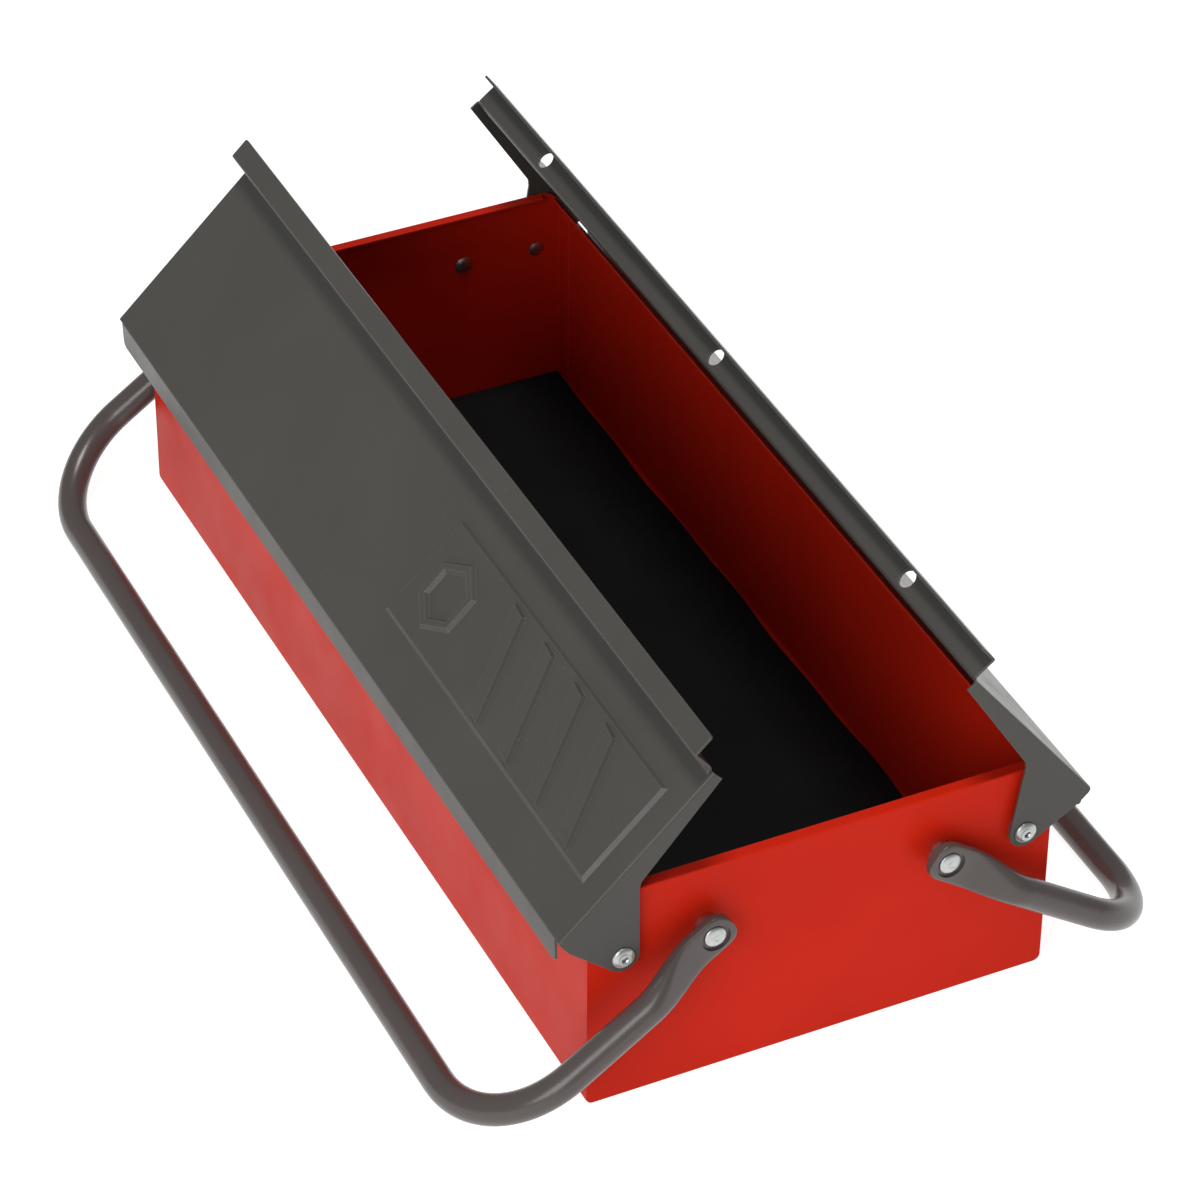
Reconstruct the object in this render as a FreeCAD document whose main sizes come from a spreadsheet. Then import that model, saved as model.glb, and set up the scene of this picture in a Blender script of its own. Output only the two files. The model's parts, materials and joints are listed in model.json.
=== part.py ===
import FreeCAD, Part
import Sketcher
import os
from math import cos, radians, sin

# A two-lid steel tote box. X runs along the box, Y across it, Z is up, and the origin is the middle
# of the tub's underside. The model rests with both lids standing open and both handles lowered.

DRIVING = {
    # tub
    "tub_length": 460.0,
    "tub_width": 204.0,
    "tub_height": 104.3,
    "plate": 1.0,
    "bend_radius": 1.6,
    "wall_bend_height": 96.0,
    "edge_run": 5.0,
    "corner_run": 5.0,
    "corner_drop": 1.5,
    "corner_flat": 10.4,
    "rim_flange": 5.0,
    "weld_flange": 12.0,
    "weld_flange_height": 88.0,
    "mat_thickness": 3.0,
    "mat_gap": 0.8,
    # lids, drawn closed
    "lid_pivot_across": 88.4,
    "lid_pivot_height": 75.0,
    "lid_corner_out": 8.2,
    "lid_rise": 30.7,
    "lid_plate": 1.0,
    "left_panel": 89.3,
    "right_panel": 91.5,
    "lip_out": 8.3,
    "lip_down": 9.2,
    "lip_setback": 3.0,
    "left_rise": 12.2,
    "left_lean": 1.1,
    "left_cap": 10.3,
    "right_rise": 10.8,
    "right_lean": 0.0,
    "right_cap": 9.2,
    "left_open": 43.9,
    "right_open": 52.4,
    "ear_inner": 232.4,
    "ear_plate": 1.2,
    "ear_tip_drop": 5.2,
    "ear_knee_in": 38.0,
    "ear_knee_drop": 10.4,
    "ear_waist_in": 35.2,
    "ear_waist_drop": 12.2,
    "ear_shoulder_out": 1.2,
    "ear_shoulder_drop": 8.0,
    "ear_side_out": 0.6,
    "ear_side_drop": 19.0,
    "ear_lobe_radius": 7.0,
    "lock_hole_radius": 4.0,
    "lock_hole_pitch": 169.0,
    "lock_hole_rise": 5.5,
    # handles
    "grip_pivot_across": 51.5,
    "grip_pivot_height": 76.1,
    "tube_radius": 6.5,
    "leg_across": 244.5,
    "grip_reach": 122.2,
    "bend_centre_radius": 45.0,
    "eye_inner": 235.6,
    "eye_thickness": 4.4,
    "eye_radius": 8.6,
    "eye_recess_radius": 6.3,
    "eye_recess_depth": 1.2,
    "neck_start": 8.0,
    "neck_middle": 18.0,
    "neck_end": 30.0,
    "neck_half_width": 7.6,
    "neck_half_depth": 4.8,
    # rivets and the rings under them
    "running_gap": 0.05,
    "face_gap": 0.1,
    "lid_shank_radius": 2.4,
    "lid_head_radius": 4.8,
    "lid_head_height": 2.0,
    "lid_head_dimple": 2.0,
    "lid_head_dimple_depth": 1.0,
    "lid_tail_radius": 3.6,
    "lid_tail_height": 1.2,
    "lid_washer_radius": 6.5,
    "grip_shank_radius": 3.0,
    "grip_head_radius": 4.8,
    "grip_head_height": 1.5,
    "grip_head_dimple": 1.2,
    "grip_head_dimple_depth": 0.3,
    "grip_tail_radius": 4.2,
    "grip_tail_height": 1.4,
    "grip_spacer_radius": 4.7,
}

SIDES = {"left": -1, "right": 1}
ENDS = {"near": 1, "far": -1}

doc = FreeCAD.newDocument("tote_box")
size = doc.addObject("Spreadsheet::Sheet", "size")
for row, (alias, value) in enumerate(DRIVING.items(), start=1):
    size.set("A%d" % row, alias)
    size.set("B%d" % row, str(value))
    size.setAlias("B%d" % row, alias)
doc.recompute()


def value(expression):
    """The number that an expression on the sheet comes to."""
    return float(size.evalExpression(expression))


def plane_of(body, role):
    for feature in body.Origin.OriginFeatures:
        if feature.Role == role:
            return feature
    raise ValueError(role)


def new_body(label):
    body = doc.addObject("PartDesign::Body", label)
    body.Label = label
    return body


def new_sketch(owner, name, role=None, shift=None):
    """A sketch on one of the body's origin planes, moved along that plane's normal by shift."""
    sketch = owner.newObject("Sketcher::SketchObject", name)
    sketch.AttachmentSupport = [(plane_of(owner, role), "")]
    sketch.MapMode = "FlatFace"
    if shift is not None:
        sketch.setExpression("AttachmentOffset.Base.z", shift)
    return sketch


def pin_point(sketch, geometry, point, across, up):
    """Hold one point of a sketch at two distances from its origin, both bound to the sheet."""
    for kind, expression in (("DistanceX", across), ("DistanceY", up)):
        index = sketch.addConstraint(
            Sketcher.Constraint(kind, -1, 1, geometry, point, value(expression)))
        sketch.setExpression("Constraints[%d]" % index, expression)


def draw_outline(sketch, corners):
    """A closed outline of straight lines through corners, each a pair of expressions."""
    spots = [FreeCAD.Vector(value(across), value(up), 0) for across, up in corners]
    first = sketch.GeometryCount
    for start, finish in zip(spots, spots[1:] + spots[:1]):
        sketch.addGeometry(Part.LineSegment(start, finish), False)
    for index, (across, up) in enumerate(corners):
        before = first + (index - 1) % len(corners)
        sketch.addConstraint(Sketcher.Constraint("Coincident", before, 2, first + index, 1))
        pin_point(sketch, first + index, 1, across, up)


def draw_circle(sketch, across, up, radius):
    centre = FreeCAD.Vector(value(across), value(up), 0)
    circle = sketch.addGeometry(
        Part.Circle(centre, FreeCAD.Vector(0, 0, 1), value(radius)), False)
    pin_point(sketch, circle, 3, across, up)
    index = sketch.addConstraint(Sketcher.Constraint("Radius", circle, value(radius)))
    sketch.setExpression("Constraints[%d]" % index, radius)


def pad(body, name, sketch, length, both_ways=False):
    feature = body.newObject("PartDesign::Pad", name)
    feature.Profile = sketch
    feature.setExpression("Length", length)
    feature.Midplane = both_ways
    doc.recompute()
    return feature


def cut_through(body, name, sketch):
    """Cut a sketch right through the body both ways, and see that it took something away."""
    before = body.Shape.Volume
    feature = body.newObject("PartDesign::Pocket", name)
    feature.Profile = sketch
    feature.Type = "ThroughAll"
    feature.Midplane = True
    doc.recompute()
    if not body.Shape.Volume < before:
        raise ValueError(name + " cut nothing")
    return feature


def round_edges(body, name, radius, wanted):
    """Fillet the edges of the body's tip for which wanted(edge) holds."""
    base = body.Tip
    names = ["Edge%d" % number for number, edge in enumerate(base.Shape.Edges, start=1) if wanted(edge)]
    if not names:
        raise ValueError(name + " found no edge")
    feature = body.newObject("PartDesign::Fillet", name)
    feature.Base = (base, names)
    feature.setExpression("Radius", radius)
    doc.recompute()
    return feature


def along(axis, edge):
    """True for a straight edge that runs along the given axis, 0 for X, 1 for Y, 2 for Z."""
    if not isinstance(edge.Curve, Part.Line):
        return False
    direction = edge.Curve.Direction
    return abs(abs(direction[axis]) - 1) < 1e-6


def near_line(edge, spots, axis=0, tolerance=0.02):
    """True for an edge along axis whose other two coordinates match one of spots."""
    if not along(axis, edge):
        return False
    point = edge.CenterOfMass
    rest = [point[index] for index in range(3) if index != axis]
    return any(abs(rest[0] - a) < tolerance and abs(rest[1] - b) < tolerance for a, b in spots)


def swing(pivot_across, pivot_height, degrees):
    """The placement that turns a piece about a line along X through its pivot."""
    pivot = FreeCAD.Vector(0, pivot_across, pivot_height)
    turn = FreeCAD.Rotation(FreeCAD.Vector(1, 0, 0), degrees)
    return FreeCAD.Placement(FreeCAD.Vector(0, 0, 0), turn, pivot)


def make_tub_shell():
    """Floor and both long walls: one sheet bent into a trough, its top edges turned inward."""
    body = new_body("tub_shell")
    sketch = new_sketch(body, "trough_section", "YZ_Plane")
    half = "size.tub_width / 2"
    inner = half + " - size.plate"
    top = "size.wall_bend_height + size.edge_run"
    slant = "size.plate * sqrt(2)"
    knee = "size.plate * (sqrt(2) - 1)"
    right_side = [
        (half, "0"),
        (half, "size.wall_bend_height"),
        (half + " - size.edge_run", top),
        (half + " - size.edge_run", top + " - " + slant),
        (inner, "size.wall_bend_height - " + knee),
        (inner, "size.plate"),
    ]
    left_side = [("-(%s)" % across, up) for across, up in reversed(right_side)]
    draw_outline(sketch, right_side + left_side)
    pad(body, "trough", sketch, "size.tub_length - 2 * size.plate", both_ways=True)
    outside_corners = [(side * value(half), 0.0) for side in SIDES.values()]
    round_edges(body, "outer_bends", "size.bend_radius + size.plate",
                lambda edge: near_line(edge, outside_corners))
    inside_corners = [(side * value(inner), value("size.plate")) for side in SIDES.values()]
    round_edges(body, "inner_bends", "size.bend_radius",
                lambda edge: near_line(edge, inside_corners))


def make_end_panel(end, sign):
    """An end of the tub: a plate with a rim turned in along the top and a weld flange at each side."""
    body = new_body("end_panel_" + end)
    half = "size.tub_width / 2"
    corner = half + " - size.corner_run"
    corner_top = "size.tub_height - size.corner_drop"
    shoulder = half + " - size.corner_flat"
    start = "size.tub_length / 2 - size.plate"
    shift = start if sign > 0 else "-size.tub_length / 2"
    face = new_sketch(body, "face_outline", "YZ_Plane", shift)
    draw_outline(face, [
        ("-(%s)" % half, "0"),
        (half, "0"),
        (half, "size.wall_bend_height"),
        (corner, corner_top),
        (shoulder, "size.tub_height"),
        ("-(%s)" % shoulder, "size.tub_height"),
        ("-(%s)" % corner, corner_top),
        ("-(%s)" % half, "size.wall_bend_height"),
    ])
    for side in SIDES.values():
        for kind in ("lid", "grip"):
            draw_circle(face, "%d * size.%s_pivot_across" % (side, kind), "size.%s_pivot_height" % kind,
                        "size.%s_shank_radius + size.running_gap" % kind)
    pad(body, "face", face, "size.plate")
    bottom = [(side * value(half), 0.0) for side in SIDES.values()]
    round_edges(body, "bottom_corners", "size.bend_radius + size.plate",
                lambda edge: near_line(edge, bottom))
    upper = [(side * value(half), value("size.wall_bend_height")) for side in SIDES.values()]
    upper += [(side * value(corner), value(corner_top)) for side in SIDES.values()]
    round_edges(body, "upper_corners", "3 * size.plate", lambda edge: near_line(edge, upper))
    rim = new_sketch(body, "rim_section", "XZ_Plane", "-(%s)" % shoulder)
    outside = "%d * size.tub_length / 2" % sign
    inside = "%d * (size.tub_length / 2 - size.rim_flange)" % sign
    draw_outline(rim, [
        (inside, "size.tub_height - size.plate"),
        (outside, "size.tub_height - size.plate"),
        (outside, "size.tub_height"),
        (inside, "size.tub_height"),
    ])
    pad(body, "rim", rim, "2 * (%s)" % shoulder)
    for side_name, side in SIDES.items():
        flange = new_sketch(body, "weld_flange_section_" + side_name, "XY_Plane",
                            "size.mat_thickness + 2 * size.plate")
        near_wall = "%d * (%s - size.plate)" % (side, half)
        inward = "%d * (%s - 2 * size.plate)" % (side, half)
        tip = "%d * (size.tub_length / 2 - size.weld_flange)" % sign
        root = "%d * (size.tub_length / 2 - size.plate / 2)" % sign
        draw_outline(flange, [(tip, near_wall), (root, near_wall), (root, inward), (tip, inward)])
        pad(body, "weld_flange_" + side_name, flange, "size.weld_flange_height")
    edge_spots = [(value(outside), value("size.tub_height"))]
    round_edges(body, "rim_bend", "size.plate * 0.9", lambda edge: near_line(edge, edge_spots, axis=1))


def make_floor_mat():
    """The loose rubber mat that covers the tub's floor."""
    body = new_body("floor_mat")
    sketch = new_sketch(body, "mat_outline", "XY_Plane", "size.plate")
    half_x = "size.tub_length / 2 - size.plate - size.mat_gap"
    half_y = "size.tub_width / 2 - 2 * size.plate - size.mat_gap"
    draw_outline(sketch, [
        ("-(%s)" % half_x, "-(%s)" % half_y),
        (half_x, "-(%s)" % half_y),
        (half_x, half_y),
        ("-(%s)" % half_x, half_y),
    ])
    pad(body, "mat", sketch, "size.mat_thickness")
    round_edges(body, "mat_corners", "size.mat_thickness", lambda edge: along(2, edge))


def lid_points(sign):
    """Expressions for a place on a closed lid: u in from its outer corner, w up from its top face."""
    corner = "(size.lid_pivot_across + size.lid_corner_out)"
    top = "(size.lid_pivot_height + size.lid_rise)"

    def place(u, w):
        return ("%d * (%s - (%s))" % (sign, corner, u), "%s + (%s)" % (top, w))
    return place


def add_ears(body, place, panel):
    """The ends of the lid bent down outside the tub, each with a lobe round its rivet."""
    pivot_u = "size.lid_corner_out"
    pivot_w = "-size.lid_rise"
    outline = [
        ("size.lid_plate / 2", "0"),
        (panel, "0"),
        (panel, "-size.ear_tip_drop"),
        ("size.ear_knee_in", "-size.ear_knee_drop"),
        ("size.ear_waist_in", "-size.ear_waist_drop"),
        (pivot_u + " + 0.77 * size.ear_lobe_radius", pivot_w + " - 0.63 * size.ear_lobe_radius"),
        (pivot_u, pivot_w),
        (pivot_u + " - 0.98 * size.ear_lobe_radius", pivot_w + " + 0.2 * size.ear_lobe_radius"),
        ("-size.ear_side_out", "-size.ear_side_drop"),
        ("-size.ear_shoulder_out", "-size.ear_shoulder_drop"),
        ("-size.ear_side_out", "-2 * size.lid_plate"),
    ]
    for end, sign in ENDS.items():
        shift = "size.ear_inner" if sign > 0 else "-(size.ear_inner + size.ear_plate)"
        sketch = new_sketch(body, "ear_outline_" + end, "YZ_Plane", shift)
        draw_outline(sketch, [place(u, w) for u, w in outline])
        pad(body, "ear_" + end, sketch, "size.ear_plate")
        lobe = new_sketch(body, "lobe_outline_" + end, "YZ_Plane", shift)
        across, up = place(pivot_u, pivot_w)
        draw_circle(lobe, across, up, "size.ear_lobe_radius")
        pad(body, "lobe_" + end, lobe, "size.ear_plate")


def make_lid(name, sign):
    """A lid drawn closed: lip, panel and stepped middle edge from one sheet, an ear at each end."""
    body = new_body("lid_" + name)
    place = lid_points(sign)
    panel = "size.%s_panel" % name
    slab = new_sketch(body, "panel_section", "YZ_Plane")
    sheet = "-size.lid_plate"
    start = "0.4 * size.lid_plate"
    draw_outline(slab, [place(start, "0"), place(panel, "0"), place(panel, sheet), place(start, sheet)])
    pad(body, "panel", slab, "2 * size.ear_inner", both_ways=True)

    # the turned-down lip, its thickness measured square to its slope
    lip = new_sketch(body, "lip_section", "YZ_Plane")
    lip_length = "sqrt(size.lip_out ^ 2 + size.lip_down ^ 2)"
    skin_u = "size.lid_plate * size.lip_down / %s" % lip_length
    skin_w = "size.lid_plate * size.lip_out / %s" % lip_length
    draw_outline(lip, [
        place("0", "0"),
        place("2 * size.lid_plate", "0"),
        place("2 * size.lid_plate", sheet),
        place("0.5 * size.lid_plate", sheet),
        place("-size.lip_out + " + skin_u, "-size.lip_down - " + skin_w),
        place("-size.lip_out", "-size.lip_down"),
    ])
    pad(body, "lip", lip, "2 * (size.ear_inner - size.lip_setback)", both_ways=True)

    # the middle edge steps up from the panel and turns in again as a flat cap
    rise = "size.%s_rise" % name
    step = "%s + size.%s_lean" % (panel, name)
    tip = "%s + size.%s_cap" % (step, name)
    edge = new_sketch(body, "middle_edge_section", "YZ_Plane")
    draw_outline(edge, [
        place(panel + " - 2 * size.lid_plate", "0"),
        place(panel, "0"),
        place(step, rise),
        place(tip, rise),
        place(tip, rise + " - size.lid_plate"),
        place(step + " + size.lid_plate", rise + " - size.lid_plate"),
        place(panel + " + size.lid_plate", sheet),
        place(panel + " - 2 * size.lid_plate", sheet),
    ])
    pad(body, "middle_edge", edge, "2 * size.ear_inner", both_ways=True)

    add_ears(body, place, panel)
    pivot_y = sign * value("size.lid_pivot_across")
    pivot_z = value("size.lid_pivot_height")
    hinge = new_sketch(body, "hinge_holes", "YZ_Plane")
    draw_circle(hinge, "%d * size.lid_pivot_across" % sign, "size.lid_pivot_height",
                "size.lid_shank_radius + size.running_gap")
    cut_through(body, "hinge_bores", hinge)
    holes = new_sketch(body, "lock_holes", "XZ_Plane")
    rise = "size.lid_pivot_height + size.lid_rise + size.lock_hole_rise"
    for step in (-1, 0, 1):
        draw_circle(holes, "%d * size.lock_hole_pitch" % step, rise, "size.lock_hole_radius")
    cut_through(body, "lock_bores", holes)
    top_w = value("size.lid_pivot_height + size.lid_rise")
    ear_out = value("size.ear_inner + size.ear_plate")
    ear_bends = [(end * ear_out, top_w) for end in ENDS.values()]
    round_edges(body, "ear_bends", "size.ear_plate * 0.9",
                lambda edge: near_line(edge, ear_bends, axis=1))
    angle = value("size.%s_open" % name)
    body.Placement = swing(pivot_y, pivot_z, -sign * angle)


def make_handle(name, sign):
    """A bent tube drawn flat: X along the box, Y away from the pivot line, its ends flattened to eyes."""
    path = doc.addObject("Sketcher::SketchObject", "grip_path_" + name)
    leg = value("size.leg_across")
    neck = value("size.neck_end")
    bend = value("size.bend_centre_radius")
    reach = value("size.grip_reach")
    points = {
        "leg_top": ("size.leg_across", "size.neck_end"),
        "leg_foot": ("size.leg_across", "size.grip_reach - size.bend_centre_radius"),
        "grip_end": ("size.leg_across - size.bend_centre_radius", "size.grip_reach"),
    }
    corner = FreeCAD.Vector(leg - bend, reach - bend, 0)
    flat = FreeCAD.Vector(0, 0, 1)
    path.addGeometry(Part.LineSegment(
        FreeCAD.Vector(leg, neck, 0), FreeCAD.Vector(leg, reach - bend, 0)), False)
    path.addGeometry(Part.ArcOfCircle(Part.Circle(corner, flat, bend), 0, radians(90)), False)
    path.addGeometry(Part.LineSegment(
        FreeCAD.Vector(leg - bend, reach, 0), FreeCAD.Vector(bend - leg, reach, 0)), False)
    mirror_corner = FreeCAD.Vector(bend - leg, reach - bend, 0)
    path.addGeometry(Part.ArcOfCircle(
        Part.Circle(mirror_corner, flat, bend), radians(90), radians(180)), False)
    path.addGeometry(Part.LineSegment(
        FreeCAD.Vector(-leg, reach - bend, 0), FreeCAD.Vector(-leg, neck, 0)), False)
    joins = (((0, 2), (1, 1)), ((1, 2), (2, 1)), ((2, 2), (3, 1)), ((3, 2), (4, 1)))
    for (before, end), (after, start) in joins:
        path.addConstraint(Sketcher.Constraint("Coincident", before, end, after, start))
    pin_point(path, 0, 1, *points["leg_top"])
    pin_point(path, 0, 2, *points["leg_foot"])
    pin_point(path, 2, 1, *points["grip_end"])
    pin_point(path, 2, 2, "-(%s)" % points["grip_end"][0], points["grip_end"][1])
    pin_point(path, 4, 1, "-(%s)" % points["leg_foot"][0], points["leg_foot"][1])
    pin_point(path, 4, 2, "-(%s)" % points["leg_top"][0], points["leg_top"][1])
    for arc in (1, 3):
        index = path.addConstraint(Sketcher.Constraint("Radius", arc, bend))
        path.setExpression("Constraints[%d]" % index, "size.bend_centre_radius")

    # a ring seen end on, standing square to Y
    upright = FreeCAD.Rotation(FreeCAD.Vector(1, 0, 0), 90)
    ring = doc.addObject("Part::Circle", "tube_ring_" + name)
    ring.setExpression("Radius", "size.tube_radius")
    ring.Placement = FreeCAD.Placement(FreeCAD.Vector(0, 0, 0), upright)
    ring.setExpression("Placement.Base.x", "size.leg_across")
    ring.setExpression("Placement.Base.y", "size.neck_end")
    doc.recompute()
    tube = doc.addObject("Part::Sweep", "tube_" + name)
    tube.Sections = [ring]
    tube.Spine = (path, ["Edge%d" % number for number in range(1, 6)])
    tube.Solid = True
    pieces = [tube]

    eye_centre = "(size.eye_inner + size.eye_thickness / 2)"
    middle_centre = "(%s + size.leg_across) / 2" % eye_centre
    wide = FreeCAD.Rotation(FreeCAD.Vector(1, 1, 1), 240)
    for end, side in ENDS.items():
        sections = []
        stations = (
            ("eye", "size.eye_radius", "size.eye_thickness / 2", eye_centre, "size.neck_start"),
            ("middle", "size.neck_half_width", "size.neck_half_depth", middle_centre, "size.neck_middle"),
            ("round", "size.tube_radius", None, "size.leg_across", "size.neck_end"),
        )
        for place, wide_half, thin_half, across, along_leg in stations:
            shape = "Part::Ellipse" if thin_half else "Part::Circle"
            oval = doc.addObject(shape, "%s_oval_%s_%s" % (place, end, name))
            if thin_half:
                oval.setExpression("MajorRadius", wide_half)
                oval.setExpression("MinorRadius", thin_half)
            else:
                oval.setExpression("Radius", wide_half)
            oval.Placement = FreeCAD.Placement(FreeCAD.Vector(0, 0, 0), wide)
            oval.setExpression("Placement.Base.x", "%d * %s" % (side, across))
            oval.setExpression("Placement.Base.y", along_leg)
            sections.append(oval)
        neck_loft = doc.addObject("Part::Loft", "neck_%s_%s" % (end, name))
        neck_loft.Sections = sections
        neck_loft.Solid = True
        pieces.append(neck_loft)
        eye = doc.addObject("Part::Cylinder", "eye_%s_%s" % (end, name))
        eye.setExpression("Radius", "size.eye_radius")
        eye.setExpression("Height", "size.eye_thickness")
        eye.Placement = FreeCAD.Placement(
            FreeCAD.Vector(0, 0, 0), FreeCAD.Rotation(FreeCAD.Vector(0, 1, 0), 90 * side))
        eye.setExpression("Placement.Base.x", "%d * size.eye_inner" % side)
        pieces.append(eye)
        tongue = doc.addObject("Part::Box", "tongue_%s_%s" % (end, name))
        tongue.setExpression("Length", "size.eye_thickness")
        tongue.setExpression("Width", "size.neck_start")
        tongue.setExpression("Height", "2 * size.eye_radius")
        lowest = "size.eye_inner" if side > 0 else "-(size.eye_inner + size.eye_thickness)"
        tongue.setExpression("Placement.Base.x", lowest)
        tongue.setExpression("Placement.Base.z", "-size.eye_radius")
        pieces.append(tongue)
    joined = doc.addObject("Part::MultiFuse", "bent_tube_" + name)
    joined.Shapes = pieces
    bores = doc.addObject("Part::Cylinder", "eye_bores_" + name)
    bores.setExpression("Radius", "size.grip_shank_radius + size.running_gap")
    bores.setExpression("Height", "2 * size.leg_across + 40")
    bores.Placement = FreeCAD.Placement(
        FreeCAD.Vector(0, 0, 0), FreeCAD.Rotation(FreeCAD.Vector(0, 1, 0), 90))
    bores.setExpression("Placement.Base.x", "-size.leg_across - 20")
    hollows = [bores]
    for end, side in ENDS.items():
        recess = doc.addObject("Part::Cylinder", "eye_recess_%s_%s" % (end, name))
        recess.setExpression("Radius", "size.eye_recess_radius")
        recess.setExpression("Height", "2 * size.eye_recess_depth")
        recess.Placement = FreeCAD.Placement(
            FreeCAD.Vector(0, 0, 0), FreeCAD.Rotation(FreeCAD.Vector(0, 1, 0), 90 * side))
        recess.setExpression(
            "Placement.Base.x",
            "%d * (size.eye_inner + size.eye_thickness - size.eye_recess_depth)" % side)
        hollows.append(recess)
    cut_away = doc.addObject("Part::MultiFuse", "eye_hollows_" + name)
    cut_away.Shapes = hollows
    handle = doc.addObject("Part::Cut", "handle_" + name)
    handle.Base = joined
    handle.Tool = cut_away
    handle.Label = "handle_" + name
    doc.recompute()

    # lowered until the grip touches the surface that the tub stands on
    drop = value("asin((size.grip_pivot_height - size.tube_radius) / size.grip_reach)")
    turn = 180 + drop if sign < 0 else -drop
    pivot = FreeCAD.Vector(0, sign * value("size.grip_pivot_across"), value("size.grip_pivot_height"))
    handle.Placement = FreeCAD.Placement(pivot, FreeCAD.Rotation(FreeCAD.Vector(1, 0, 0), turn))


def make_turned(label, half_section, sign, across, height):
    """A turned piece: half_section gives (distance from the middle of the box, radius) corners."""
    body = new_body(label)
    sketch = new_sketch(body, "half_section", "XZ_Plane")
    draw_outline(sketch, half_section)
    feature = body.newObject("PartDesign::Revolution", "turned")
    feature.Profile = sketch
    feature.ReferenceAxis = (sketch, ["H_Axis"])
    feature.Angle = 360
    doc.recompute()
    turn = FreeCAD.Rotation(FreeCAD.Vector(0, 0, 1), 0 if sign > 0 else 180)
    body.Placement = FreeCAD.Placement(FreeCAD.Vector(0, across, height), turn)


def rivet_section(kind, seat):
    """Half section of a rivet: shank from inside the tub out to a low domed head with a dimple."""
    shank = "size.%s_shank_radius" % kind
    head = "size.%s_head_radius" % kind
    tail = "size.%s_tail_radius" % kind
    tall = "size.%s_head_height" % kind
    wall = "size.tub_length / 2 - size.plate"
    under = "%s + size.face_gap" % seat
    tail_end = "%s - size.%s_tail_height" % (wall, kind)
    dimple_floor = "%s + %s - size.%s_head_dimple_depth" % (under, tall, kind)
    return [
        (tail_end, "0"),
        (tail_end, "0.6 * " + tail),
        ("%s - 0.5 * size.%s_tail_height" % (wall, kind), tail),
        (wall, tail),
        (wall, shank),
        (under, shank),
        (under, head),
        ("%s + 0.35 * %s" % (under, tall), head),
        ("%s + 0.8 * %s" % (under, tall), "0.8 * " + head),
        ("%s + %s" % (under, tall), "0.5 * " + head),
        (dimple_floor, "size.%s_head_dimple" % kind),
        (dimple_floor, "0"),
    ]


def ring_section(kind, outer, top):
    """Half section of a flat ring on the tub's end, round a rivet's shank."""
    bore = "size.%s_shank_radius + size.running_gap" % kind
    return [
        ("size.tub_length / 2", bore),
        (top, bore),
        (top, outer),
        ("size.tub_length / 2", outer),
    ]


def make_fasteners():
    """A rivet and a ring at each of the eight pivots."""
    ear_face = "size.ear_inner + size.ear_plate"
    eye_seat = "size.eye_inner + size.eye_thickness - size.eye_recess_depth"
    for side, sign in SIDES.items():
        for end, way in ENDS.items():
            tag = "%s_%s" % (side, end)
            lid_y = sign * value("size.lid_pivot_across")
            lid_z = value("size.lid_pivot_height")
            make_turned("lid_rivet_" + tag, rivet_section("lid", ear_face), way, lid_y, lid_z)
            make_turned("lid_washer_" + tag,
                        ring_section("lid", "size.lid_washer_radius", "size.ear_inner - size.face_gap"),
                        way, lid_y, lid_z)
            grip_y = sign * value("size.grip_pivot_across")
            grip_z = value("size.grip_pivot_height")
            make_turned("handle_rivet_" + tag, rivet_section("grip", eye_seat), way, grip_y, grip_z)
            make_turned("handle_spacer_" + tag,
                        ring_section("grip", "size.grip_spacer_radius",
                                     "size.eye_inner - size.face_gap"),
                        way, grip_y, grip_z)


make_tub_shell()
for end_name, end_sign in ENDS.items():
    make_end_panel(end_name, end_sign)
make_floor_mat()
for side_name, side_sign in SIDES.items():
    make_lid(side_name, side_sign)
    make_handle(side_name, side_sign)
make_fasteners()
doc.recompute()

for item in doc.Objects:
    if "Invalid" in item.State or "Error" in item.State:
        raise ValueError("%s failed: %s" % (item.Name, item.State))

pieces = [item for item in doc.Objects if item.TypeId == "PartDesign::Body"]
pieces += [item for item in doc.Objects if item.TypeId == "Part::Cut"]
for piece in pieces:
    if piece.Shape.isNull() or not piece.Shape.isValid():
        raise ValueError(piece.Label + " has no sound shape")
    if len(piece.Shape.Solids) != 1:
        raise ValueError("%s has %d solids" % (piece.Label, len(piece.Shape.Solids)))

os.makedirs("parts", exist_ok=True)
for piece in pieces:
    piece.Shape.exportStep("parts/%s.step" % piece.Label)
    box = piece.Shape.BoundBox
    print("%-28s volume %9.1f  x %7.1f %7.1f  y %7.1f %7.1f  z %6.1f %6.1f" % (
        piece.Label, piece.Shape.Volume, box.XMin, box.XMax, box.YMin, box.YMax, box.ZMin, box.ZMax))
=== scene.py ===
import bmesh
import bpy
import json
from math import acos, atan2, cos, pi, radians, sin, tan
from mathutils import Matrix, Vector


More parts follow.
